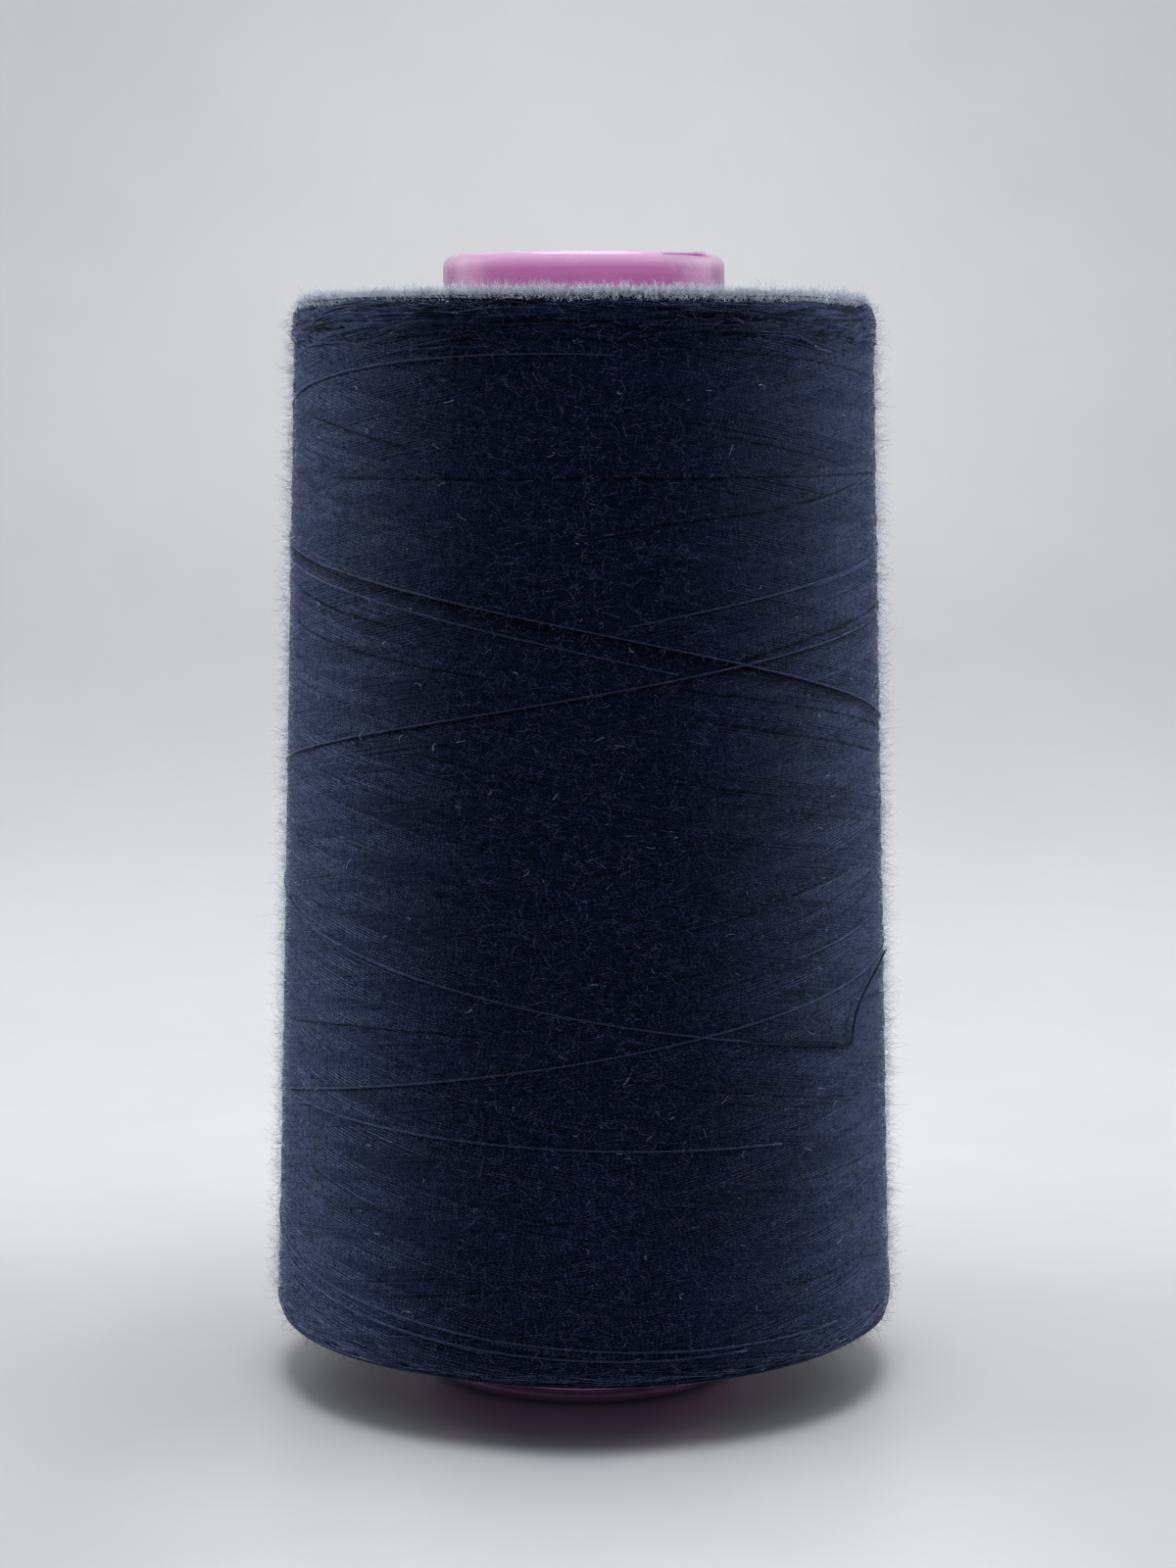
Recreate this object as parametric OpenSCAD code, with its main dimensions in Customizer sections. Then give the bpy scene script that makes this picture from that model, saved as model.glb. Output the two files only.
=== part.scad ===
// King spool of sewing thread: tapered plastic core, snap-in base ring, sprung thread catch and a
// cross-wound thread package with its loose outer end.
// Frame: +Z up along the spool axis, origin at the centre of the face the spool stands on. Millimetres.

/* [Core] */
// Overall height of the spool
spool_h = 125; // [120:1:135]
// Outside diameter of the core at its top end
core_top_d = 31; // [30:0.5:33]
// Outside diameter of the core at its foot
core_base_d = 34.2; // [34:0.1:38]
// Wall thickness of the tapered tube
wall = 1.3; // [1.1:0.1:1.6]
// Diameter of the bore that runs on a spool pin
pin_bore_d = 16; // [10:1:17]
// Length of the pin hub below the top end wall
hub_len = 30; // [20:1:40]
// Number of ribs between the hub and the tube
ribs = 6; // [4:1:8]

/* [Thread package] */
// Height of the wound package
pack_h = 113; // [100:1:115]
// Gap between the standing face and the lower end of the package
pack_gap = 7; // [6:0.5:9]
// Diameter of the package at its upper end
pack_top_d = 63.8; // [50:0.1:70]
// Diameter of the package at its lower end
pack_base_d = 69.7; // [56:0.1:76]
// Rounding of the upper shoulder
shoulder_top = 1.8; // [1:0.1:3]
// Rounding of the lower shoulder
shoulder_base = 1.5; // [1:0.1:3]
// Diameter of the thread
thread_d = 0.24; // [0.2:0.01:0.4]

/* [Base ring] */
// Travel of the base ring from locked to open
ring_travel = 2.5; // [1.5:0.1:2.8]
// Thickness of the foot flange
flange_t = 1.6; // [1.4:0.1:2]
// Number of snap fingers
fingers = 6; // [4:1:8]

/* [Thread catch] */
// Direction of the catch's free end, seen from above, from +X towards -Y
catch_from = 28; // [0:1:90]
// Arc that the catch spans
catch_arc = 28; // [26:1:35]
// Thickness of the sprung tongue
catch_t = 0.3; // [0.25:0.05:0.5]
// How much deeper the pocket is at the free end than at the root
catch_gap = 0.05; // [0.05:0.05:0.4]
// Angle at which the tongue stands open at rest
catch_lift = 2; // [1:0.5:4]

/* [Hidden] */

lilac = [0.72, 0.44, 0.68];
navy = [0.07, 0.09, 0.15];

// Core: outside, top end and hub
edge_r = 1.2;                       // rounding of the top edge
rim_in = core_top_d / 2 - 1.6;      // inner edge of the tongue
recess_r = rim_in - 1;              // recess in the top end
floor_z = spool_h - 0.8;            // top of the end wall
web_z = floor_z - 1.6;              // underside of the end wall
bore_r = pin_bore_d / 2;
hub_r = bore_r + 1.2;               // outside of the hub
hub_z = web_z - hub_len;            // lower end of the hub
tube_z = flange_t + 0.05;           // lower end of the tube, just clear of the flange

// Ribs
rib_t = 1;
rib_turn = 15;                      // direction of the first rib
rib_rise_in = 1;                    // height of the rib's foot above hub_z, at the hub
rib_rise_out = 8;                   // the same, at the tube

// Base ring
flange_r = 17.2;
bead_r = flange_t / 2;
ring_in = 13.7;
seat_r = 15.3;                      // cylindrical seat in the tube that the ring slides in
seat_top = 11;
seat_taper = 4;                     // height over which the seat runs out into the tapered bore
skirt_r = seat_r - 0.06;
skirt_h = 8.2;
skirt_overlap = 0.2;                // the skirt starts this far down in the flange
barb_z = 7.9;                       // underside of the snap barb when locked
barb_h = 0.8;
barb_land = 0.3;                    // straight part of the barb below its slope
barb_r = 15.62;
barb_in = 15;
chamfer_drop = 0.45;                // the diamond that chamfers the bore's lower edge
chamfer_side = 0.64;
slot_w = 1.8;                       // slots between the snap fingers
slot_z = 3.4;

// Groove in the seat that the barb travels in
groove_r = 15.8;
groove_play = 0.1;
groove_z0 = barb_z - ring_travel - groove_play;
groove_z1 = barb_z + barb_h + groove_play;

// Thread catch; its angles run from +X towards +Y until the pieces are mirrored
catch_z = spool_h - catch_t;        // underside of the tongue
catch_root = catch_from + catch_arc;
catch_tilt = atan(catch_gap / (rim_in * catch_arc * PI / 180));
pocket_drop = 0.06;                 // pocket floor below the tongue, at the root
pocket_play_free = 1.2;             // degrees beyond the free end
pocket_play_root = 0.55;            // degrees beyond the root

// Thread package
pack_top = pack_gap + pack_h;
pack_fit = 0.02;                    // clearance between package and core

// Loose outer end: angles are azimuths
tail_cut_angle = -13.5;             // cut end
tail_cut_z = 48.8;
tail_leave_angle = -32.5;           // where it leaves the winding
tail_leave_z = 40.8;
tail_curl = 2.9;                    // exponent of the slack curve
tail_bow = 0.35;                    // how far the slack part bows off the package
tail_lift = 0.3;                    // extra lift of the cut end
turn_angle = 0.85;                  // size of the turn into the winding
turn_drop = 0.5;
tail_run = 26;                      // arc followed after the turn
tail_rise = 2.6;                    // height gained along it
tail_off = thread_d / 2 + 0.05;     // thread centre above the package surface

// Outside radii of core and package at height z
function core_r(z) = core_base_d / 2 - (core_base_d - core_top_d) / 2 / spool_h * z;
function pack_r(z) = pack_base_d / 2 - (pack_base_d - pack_top_d) / 2 / pack_h * (z - pack_gap);

// Half section of the core's outside, filled to the axis, with the rounded top edge
module outer_half() {
    difference() {
        polygon([[0, tube_z], [core_r(tube_z), tube_z], [core_r(spool_h), spool_h], [0, spool_h]]);
        translate([core_r(spool_h) - edge_r, spool_h - edge_r]) square(edge_r + 1);
    }
    translate([core_r(spool_h - edge_r) - edge_r, spool_h - edge_r]) circle(r = edge_r, $fn = 64);
}

// Part of a ring between two directions, reaching past the core's rim and top
module rim_sector(from, to, inner_r, bottom_z) {
    rotate([0, 0, from]) rotate_extrude(angle = to - from, $fn = 180)
        translate([inner_r, bottom_z])
            square([core_top_d / 2 + 1 - inner_r, spool_h + 1 - bottom_z]);
}

// Half section of the space between hub and tube, with the base ring's seat and groove
module hollow_half() {
    polygon([
        [hub_r, web_z],
        [core_r(web_z) - wall, web_z],
        [core_r(seat_top + seat_taper) - wall, seat_top + seat_taper],
        [seat_r, seat_top],
        [seat_r, groove_z1],
        [groove_r, groove_z1],
        [groove_r, groove_z0],
        [seat_r, groove_z0],
        [seat_r, -1],
        [bore_r - 1, -1],
        [bore_r - 1, hub_z],
        [hub_r, hub_z]
    ]);
}

// Pocket under the thread catch
module catch_pocket() {
    mirror([0, 1, 0]) intersection() {
        rim_sector(catch_from - pocket_play_free, catch_root + pocket_play_root,
            rim_in - 0.5, catch_z - 1.5);
        union() {
            // everything above a plane that falls from the root to the free end
            rotate([0, 0, catch_root]) translate([0, 0, catch_z - pocket_drop])
                rotate([catch_tilt, 0, 0]) translate([0, -30, 0]) cube([30, 30, 6]);
            // level part that carries on past the root
            translate([0, 0, catch_z]) rotate([0, 0, catch_root - 10]) cube([30, 8, 6]);
        }
    }
}

// Rib from hub to tube, sunk a little into hub, tube and end wall
module rib() {
    foot_z = hub_z + rib_rise_out;
    rotate([90, 0, 0]) linear_extrude(rib_t, center = true) polygon([
        [hub_r - 0.1, web_z + 0.2],
        [core_r(web_z) - wall + 0.15, web_z + 0.2],
        [core_r(foot_z) - wall + 0.15, foot_z],
        [hub_r - 0.1, hub_z + rib_rise_in]
    ]);
}

module core_tube() color(lilac) {
    difference() {
        rotate_extrude($fn = 180) difference() {
            outer_half();
            // recess inside the rim, then the through bore
            translate([-1, floor_z]) square([recess_r + 1, 5]);
            translate([-1, -1]) square([bore_r + 1, spool_h + 2]);
            hollow_half();
        }
        catch_pocket();
    }
    for (i = [0:ribs - 1]) rotate([0, 0, i * 360 / ribs + rib_turn]) rib();
}

// Tongue cut from the rim and swung open about the lower edge of its root
module thread_catch() color(lilac) mirror([0, 1, 0])
    translate([0, 0, catch_z]) rotate([0, 0, catch_root])
    rotate([-catch_lift, 0, 0])
    rotate([0, 0, -catch_root]) translate([0, 0, -catch_z])
    intersection() {
        rotate_extrude($fn = 180) difference() {
            outer_half();
            translate([-1, -1]) square([rim_in + 1, spool_h + 5]);
        }
        rim_sector(catch_from, catch_root, rim_in - 1, catch_z);
    }

module base_ring() color(lilac) difference() {
    rotate_extrude($fn = 180) union() {
        // foot flange, chamfered inside and with a rounded bead outside
        difference() {
            translate([ring_in, 0]) square([flange_r - ring_in - bead_r, flange_t]);
            translate([ring_in, -chamfer_drop]) rotate(45) square(chamfer_side);
        }
        translate([flange_r - bead_r, bead_r]) circle(r = bead_r, $fn = 48);
        // skirt that slides in the tube
        translate([ring_in, flange_t - skirt_overlap]) square([skirt_r - ring_in, skirt_h]);
        // snap barb
        polygon([
            [barb_in, barb_z],
            [barb_r, barb_z],
            [barb_r, barb_z + barb_land],
            [skirt_r, barb_z + barb_h],
            [barb_in, barb_z + barb_h]
        ]);
    }
    // slots between the snap fingers
    for (i = [0:fingers - 1]) rotate([0, 0, i * 360 / fingers])
        translate([12.5, -slot_w / 2, slot_z]) cube([5, slot_w, 8]);
}

// Circle that rounds a shoulder, touching the package's side at height z
module shoulder(radius, z) {
    translate([pack_r(z) - radius, z]) circle(r = radius, $fn = 64);
}

module thread_package() color(navy) {
    top_r = pack_r(pack_top);
    base_r = pack_r(pack_gap);
    rotate_extrude($fn = 180) union() {
        difference() {
            polygon([
                [core_r(pack_gap) + pack_fit, pack_gap],
                [base_r, pack_gap],
                [top_r, pack_top],
                [core_r(pack_top) + pack_fit, pack_top]
            ]);
            translate([top_r - shoulder_top, pack_top - shoulder_top]) square(shoulder_top + 1);
            translate([base_r - shoulder_base, pack_gap - 1]) square(shoulder_base + 1);
        }
        shoulder(shoulder_top, pack_top - shoulder_top);
        shoulder(shoulder_base, pack_gap + shoulder_base);
    }
}

function lerp(a, b, t) = a + (b - a) * t;
function unit(v) = v / norm(v);
function cartesian(p) = [p[1] * cos(p[0]), p[1] * sin(p[0]), p[2]];

// A round thread along a path of [azimuth, radius, height]
module strand(path, radius, sides = 10) {
    last = len(path) - 1;
    centres = [for (p = path) cartesian(p)];
    points = [for (i = [0:last])
        let (along = unit(centres[min(i + 1, last)] - centres[max(i - 1, 0)]),
             outward = [cos(path[i][0]), sin(path[i][0]), 0],
             side = unit(cross(along, outward)),
             up = cross(side, along))
        for (k = [0:sides - 1])
            let (angle = k * 360 / sides)
            centres[i] + radius * (cos(angle) * up + sin(angle) * side)];
    start_cap = [for (k = [0:sides - 1]) k];
    end_cap = [for (k = [sides - 1:-1:0]) last * sides + k];
    skin = [for (i = [0:last - 1]) for (k = [0:sides - 1])
        let (here = i * sides, next = here + sides, k_next = (k + 1) % sides)
        [here + k, next + k, next + k_next, here + k_next]];
    polyhedron(points = points, faces = concat([start_cap], skin, [end_cap]), convexity = 6);
}

// Path point lying `lift` above the thread's rest on the package
function on_pack(azimuth, z, lift = 0) = [azimuth, pack_r(z) + tail_off + lift, z];

// The cut end lies slack and falls to where it leaves the winding, then turns to follow its turn
function tail_path() = concat(
    [for (i = [0:24]) let (t = i / 24)
        on_pack(lerp(tail_leave_angle, tail_cut_angle, pow(1 - t, tail_curl)),
            lerp(tail_cut_z, tail_leave_z, t),
            tail_bow * sin(180 * t) + tail_lift * pow(1 - t, 6))],
    [for (a = [18:18:90])
        on_pack(tail_leave_angle - turn_angle + turn_angle * cos(a),
            tail_leave_z - turn_drop * sin(a))],
    [for (i = [1:12]) let (t = i / 12)
        on_pack(tail_leave_angle - turn_angle - tail_run * t,
            tail_leave_z - turn_drop + tail_rise * t)]);

module thread_tail() color(navy) strand(tail_path(), thread_d / 2);

core_tube();
thread_catch();
base_ring();
thread_package();
thread_tail();
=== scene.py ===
"""A spool of navy thread on a lilac core, standing on a pale sweep.

The axis of the spool is +Z with the foot at the origin, and the camera looks at it from -Y.
Sizes are in mm and turned into metres as each mesh is made; lights, camera and shader
distances are in metres. Azimuths are measured from +X, so the front is at -90 degrees.
The core tube, thread catch and base ring are the CAD pieces; the winding is simulated.
"""
import math

import bpy
import numpy as np
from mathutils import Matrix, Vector


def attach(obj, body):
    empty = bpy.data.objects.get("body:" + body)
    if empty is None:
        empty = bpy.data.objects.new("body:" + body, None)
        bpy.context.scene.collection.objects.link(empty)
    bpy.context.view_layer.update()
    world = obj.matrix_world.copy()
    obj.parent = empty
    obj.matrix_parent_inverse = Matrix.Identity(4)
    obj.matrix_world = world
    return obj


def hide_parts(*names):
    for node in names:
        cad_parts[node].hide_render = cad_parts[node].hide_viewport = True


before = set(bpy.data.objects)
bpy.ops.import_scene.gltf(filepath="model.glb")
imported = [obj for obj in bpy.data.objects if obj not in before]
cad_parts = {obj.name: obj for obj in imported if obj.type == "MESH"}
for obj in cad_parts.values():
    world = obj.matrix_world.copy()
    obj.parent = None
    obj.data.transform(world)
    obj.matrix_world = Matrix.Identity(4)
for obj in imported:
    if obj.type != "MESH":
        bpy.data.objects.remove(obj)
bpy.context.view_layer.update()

RNG = np.random.default_rng(20461)
MM = 0.001
TAU = 2 * math.pi

# ---------------------------------------------------------------- spool and package
SPOOL_H = 125.0
Z0, Z1 = 7.0, 120.0             # foot and top of the package
CORE_TOP, CORE_BASE = 15.5, 17.1        # core radii
PACK_BASE, PACK_TOP = 34.85, 31.9       # package radii
MEAN_R = 33.4                   # winding radius used for lengths along the thread
THREAD_D = 0.24
TOP_ROUND_H, BASE_ROUND_H = 2.6, 1.9    # height of the shoulder roundings
TOP_ROUND_W, BASE_ROUND_W = 2.0, 1.6    # and how far they reach in


def core_r(z):
    return CORE_BASE - (CORE_BASE - CORE_TOP) / SPOOL_H * z


def pack_r(z):
    return PACK_BASE - (PACK_BASE - PACK_TOP) / (Z1 - Z0) * (np.asarray(z) - Z0)


def pack_prof(z):
    """Outside radius of the package with both rounded shoulders."""
    z = np.asarray(z, float)
    above = np.clip(z - (Z1 - TOP_ROUND_H), 0, TOP_ROUND_H)
    below = np.clip((Z0 + BASE_ROUND_H) - z, 0, BASE_ROUND_H)
    top_cut = TOP_ROUND_W * (1 - np.sqrt(np.maximum(1 - (above / TOP_ROUND_H) ** 2, 0)))
    base_cut = BASE_ROUND_W * (1 - np.sqrt(np.maximum(1 - (below / BASE_ROUND_H) ** 2, 0)))
    return pack_r(z) - top_cut - base_cut


def polar(radius, az, z):
    """Points, or vectors, from radius, azimuth in radians and height."""
    return np.stack([radius * np.cos(az), radius * np.sin(az), z], axis=-1)


def shoulder_normal(az, z):
    """Outward normal, tipped up or down on the shoulders and slightly up on the side."""
    top = np.clip((z - (Z1 - TOP_ROUND_H)) / TOP_ROUND_H, 0, 1)
    base = np.clip(((Z0 + BASE_ROUND_H) - z) / BASE_ROUND_H, 0, 1)
    up = top - base + 0.026
    return polar(np.sqrt(np.maximum(1 - up**2, 0.02)), az, up)


def unit(vectors, least=0.0):
    return vectors / np.maximum(np.linalg.norm(vectors, axis=1, keepdims=True), least)


def square_to(vectors, axis):
    """Takes out the part of each vector that lies along a unit axis."""
    return vectors - axis * np.sum(vectors * axis, axis=1, keepdims=True)


# ---------------------------------------------------------------- mesh helpers
def make_mesh(name, verts, faces, attrs=None):
    """verts (n, 3) in mm; faces is a list of integer arrays, each (n, k)."""
    mesh = bpy.data.meshes.new(name)
    faces = [np.asarray(f, np.int32) for f in faces if len(f)]
    mesh.vertices.add(len(verts))
    mesh.vertices.foreach_set("co", (np.asarray(verts, np.float32) * MM).ravel())
    loops = np.concatenate([f.ravel() for f in faces])
    sizes = np.concatenate([np.full(len(f), f.shape[1], np.int32) for f in faces])
    starts = np.concatenate([[0], np.cumsum(sizes)[:-1]]).astype(np.int32)
    mesh.loops.add(len(loops))
    mesh.loops.foreach_set("vertex_index", loops)
    mesh.polygons.add(len(sizes))
    mesh.polygons.foreach_set("loop_start", starts)
    mesh.polygons.foreach_set("use_smooth", np.full(len(sizes), True))
    mesh.update(calc_edges=True)
    mesh.validate()
    for key, values in (attrs or {}).items():
        attribute = mesh.attributes.new(key, "FLOAT", "POINT")
        attribute.data.foreach_set("value", np.asarray(values, np.float32))
    obj = bpy.data.objects.new(name, mesh)
    bpy.context.scene.collection.objects.link(obj)
    return obj


def sweep(centres, normals, radii, runs, tone, sides=5, flat=1.0, along=None, cap=True):
    """Tubes along runs of centres, as (verts, faces, attrs).

    centres and normals are (n, 3); radii, tone and runs (the run id) have one entry a point.
    flat scales the section along the normal.
    """
    n = len(centres)
    same_next = np.zeros(n, bool)
    same_next[:-1] = runs[1:] == runs[:-1]
    same_prev = np.zeros(n, bool)
    same_prev[1:] = same_next[:-1]
    following = np.where(same_next, np.arange(n) + 1, np.arange(n))
    previous = np.where(same_prev, np.arange(n) - 1, np.arange(n))
    tangents = unit(centres[following] - centres[previous], 1e-9)
    outward = unit(square_to(normals, tangents), 1e-9)
    sideways = np.cross(tangents, outward)
    angles = (np.arange(sides) + (0.5 if sides == 4 else 0.0)) * TAU / sides
    ring = (np.cos(angles)[None, :, None] * outward[:, None, :] * (radii * flat)[:, None, None]
            + np.sin(angles)[None, :, None] * sideways[:, None, :] * radii[:, None, None])
    verts = (centres[:, None, :] + ring).reshape(-1, 3)
    k = np.arange(sides)
    k2 = (k + 1) % sides
    base = np.nonzero(same_next)[0][:, None] * sides
    quads = np.stack([base + k, base + k2, base + sides + k2, base + sides + k], axis=-1)
    faces = [quads.reshape(-1, 4)]
    if cap:
        starts = np.nonzero(same_next & ~same_prev)[0]
        ends = np.nonzero(~same_next & same_prev)[0]
        faces.append(starts[:, None] * sides + k[::-1])
        faces.append(ends[:, None] * sides + k)
    if along is None:
        lengths = np.zeros(n)
        steps = np.linalg.norm(centres[1:] - centres[:-1], axis=1)
        lengths[1:] = np.where(same_prev[1:], steps, 0)
        along = np.cumsum(lengths)
    attrs = {"along": np.repeat(along, sides), "around": np.tile(angles, n),
             "tone": np.repeat(tone, sides)}
    return verts, faces, attrs


def join_parts(parts):
    verts, faces_by_size, attrs, offset = [], {}, {}, 0
    for part_verts, part_faces, part_attrs in parts:
        verts.append(part_verts)
        for f in part_faces:
            if len(f):
                faces_by_size.setdefault(f.shape[1], []).append(np.asarray(f) + offset)
        for key, values in part_attrs.items():
            attrs.setdefault(key, []).append(values)
        offset += len(part_verts)
    return (np.concatenate(verts), [np.concatenate(f) for f in faces_by_size.values()],
            {key: np.concatenate(values) for key, values in attrs.items()})


# ---------------------------------------------------------------- winding simulation
PITCH = 36.0                    # mm of rise per turn
SAMPLES = 768                   # simulation samples per turn
KEEP = 6                        # every KEEP-th sample becomes a mesh point
STROKES = 330     # double strokes, up and down
CELL_H = 0.08                   # height field: cell height, columns round and rows
COLUMNS = 2620
ROWS = int((Z1 - Z0) / CELL_H) + 2
STACK = 0.5                     # how much of its height a strand keeps when others cross it
RELIEF = 0.36                   # how much of the simulated relief the settled package keeps
RIBBONS = 6                     # strands close up after this many double strokes
STRAND_GAP = 0.243              # between neighbouring strands, square to the lay
LAST_STROKE_AZ = -94            # where the last upward stroke starts, degrees
KNOTS = 24                      # knots of the slow wander along a stroke
PROUD = 0.13                    # how far the strands laid last stand out
PROUD_TONE = 3.4                # the tone by which the material knows them

# The strands laid last stand out on their own. Columns: rise per turn, height at the front,
# bend (mm per radian squared), first and last azimuth in degrees, how far below the strand
# its shade reaches, and how dark that shade is.
LAST = [
    (-42.4, 85.86, -0.71, -200, 12, 2.2, 0.8), (-46.1, 83.53, -0.76, -200, -72, 0.4, 0.6),
    (36.5, 79.10, -0.45, -200, 60, 0.9, 0.8), (38.1, 85.39, -0.41, -82, 20, 0.5, 0.75),
    (39.0, 85.0, -0.41, -45, 25, 0.3, 0.5), (36.5, 41.49, -0.15, -200, 15, 0.5, 0.7),
    (-38.9, 45.91, 0.52, -200, -34, 0.4, 0.7), (-7.9, 32.35, -0.07, -185, -50, 0.45, 0.65),
    (-4.3, 113.74, -2.79, -175, -84, 0.45, 0.8), (-13.9, 11.35, 1.72, -182, -38, 0.35, 0.75),
    (-9.1, 10.28, 2.17, -165, -60, 0.35, 0.65),
]
# Partings between neighbouring turns, drawn as lines of painted shade: the same first five
# columns, then the width and the darkness of the line.
PARTINGS = [
    (63.8, 77.79, -2.51, -70, -8, 0.20, 0.75), (-26.0, 82.68, 0.87, -166, -122, 0.17, 0.75),
    (-21.3, 79.73, 0.93, -168, -104, 0.15, 0.7), (-26.2, 81.12, -0.99, -76, -8, 0.16, 0.75),
    (-33.9, 78.54, -0.28, -75, -12, 0.14, 0.65), (-53.2, 72.82, 2.54, -84, -38, 0.13, 0.6),
    (-38.0, 71.9, 0.4, -80, -10, 0.11, 0.5), (-36.0, 70.3, 0.3, -70, -8, 0.11, 0.5),
    (-41.4, 69.26, 0.0, -130, -92, 0.14, 0.6), (-50.0, 63.3, -1.3, -152, -104, 0.12, 0.55),
    (-14.2, 43.41, -3.0, -164, -98, 0.16, 0.7), (-33.4, 40.07, -0.12, -90, -30, 0.15, 0.65),
    (-33.0, 38.9, -0.1, -84, -40, 0.12, 0.55), (-45.0, 19.3, 0.0, -156, -122, 0.15, 0.6),
    (36.6, 20.53, 0.0, -140, -110, 0.13, 0.6), (34.0, 18.66, 0.0, -130, -88, 0.14, 0.6),
    (16.9, 24.84, 0.0, -108, -84, 0.15, 0.7), (14.0, 25.6, -0.5, -66, -16, 0.13, 0.55),
    (14.7, 14.26, 0.0, -54, -24, 0.14, 0.6), (-53.0, 33.71, 0.0, -108, -90, 0.14, 0.6),
    (-40.3, 100.42, 0.0, -158, -120, 0.17, 0.75), (-32.7, 97.92, 0.0, -164, -138, 0.14, 0.65),
    (0.8, 101.18, 0.01, -150, -8, 0.16, 0.7), (-14.7, 106.92, -2.2, -68, -24, 0.15, 0.7),
    (9.5, 96.02, 2.2, -88, -20, 0.16, 0.7), (-8.0, 114.9, -0.9, -78, -6, 0.18, 0.6),
    (34.6, 48.09, 1.27, -84, -18, 0.13, 0.55), (37.4, 52.52, 1.5, -106, -32, 0.13, 0.55),
    (35.5, 50.2, 1.2, -75, -24, 0.11, 0.5), (36.0, 60.6, 0.8, -128, -20, 0.12, 0.45),
]
BEND_TO = 1.5                   # radians from the front within which the bend acts


def line_z(az, rise, z_front, bend):
    from_front = az + math.pi / 2
    return z_front + rise * from_front / TAU + bend * np.minimum(from_front**2, BEND_TO**2)


def column_of(az):
    return np.floor((np.asarray(az) / TAU % 1.0) * COLUMNS).astype(int) % COLUMNS


def row_of(z, margin=0):
    """Row of the height field, kept margin rows inside it."""
    return np.clip(((np.asarray(z) - Z0) / CELL_H).astype(int), margin, ROWS - 1 - margin)


def blend_knots(knots, position):
    """Values between knots, eased from each to the next."""
    i = position.astype(int)
    f = position - i
    f = f * f * (3 - 2 * f)
    return knots[i] * (1 - f) + knots[i + 1] * f


def smooth_noise(n, step, amplitude):
    knots = RNG.normal(0, amplitude, int(n / step) + 4)
    return blend_knots(knots, np.arange(n) / step)


def bridge(support, along):
    """Height of a thread under tension, which bridges hollows: an upper hull."""
    curve = along * along / (2 * MEAN_R)
    lifted = (support - curve).tolist()
    along_list = along.tolist()
    hull = []
    for i in range(0, len(along_list), 2):
        y, s = lifted[i], along_list[i]
        while len(hull) > 1:
            s1, y1 = hull[-1]
            s0, y0 = hull[-2]
            if (y1 - y0) * (s - s0) <= (y - y0) * (s1 - s0):
                hull.pop()
            else:
                break
        hull.append((s, y))
    hull = np.array(hull)
    return np.interp(along, hull[:, 0], hull[:, 1]) + curve


def lay_strand(heights, owner, az, z, strand, peak_share=0.4):
    """Lays a strand on the height field and returns the height of its centre line."""
    columns = column_of(az)
    rows = row_of(z, 1)
    near = [heights[rows, columns], heights[rows - 1, columns], heights[rows + 1, columns]]
    peak = np.maximum(np.maximum(near[0], near[1]), near[2]).astype(float)
    mean = (near[0] + near[1] + near[2]) / 3
    support = peak_share * peak + (1 - peak_share) * mean
    centre = bridge(support, np.abs(az - az[0]) * MEAN_R)
    centre = np.minimum(np.maximum(centre, support), support + 0.3)
    # three marks per sample leave no gap in the field
    n = len(az)
    fine = np.arange(n * 3) / 3
    fine_z = np.interp(fine, np.arange(n), z)
    fine_centre = np.interp(fine, np.arange(n), centre)
    columns = column_of(np.interp(fine, np.arange(n), az))
    z_cells = (fine_z - Z0) / CELL_H
    base_row = np.floor(z_cells).astype(int)
    for j in (-1, 0, 1, 2):
        rows = base_row + j
        off = np.abs((rows + 0.5 - z_cells) * CELL_H)
        inside = (off < THREAD_D / 2) & (rows >= 0) & (rows < ROWS)
        round_top = np.sqrt(np.maximum(1 - (off / (THREAD_D / 2)) ** 2, 0))
        top = fine_centre + STACK * THREAD_D * round_top
        r, c, value = rows[inside], columns[inside], top[inside].astype(np.float32)
        higher = value > heights[r, c]
        heights[r[higher], c[higher]] = value[higher]
        owner[r[higher], c[higher]] = strand
    return centre


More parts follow.
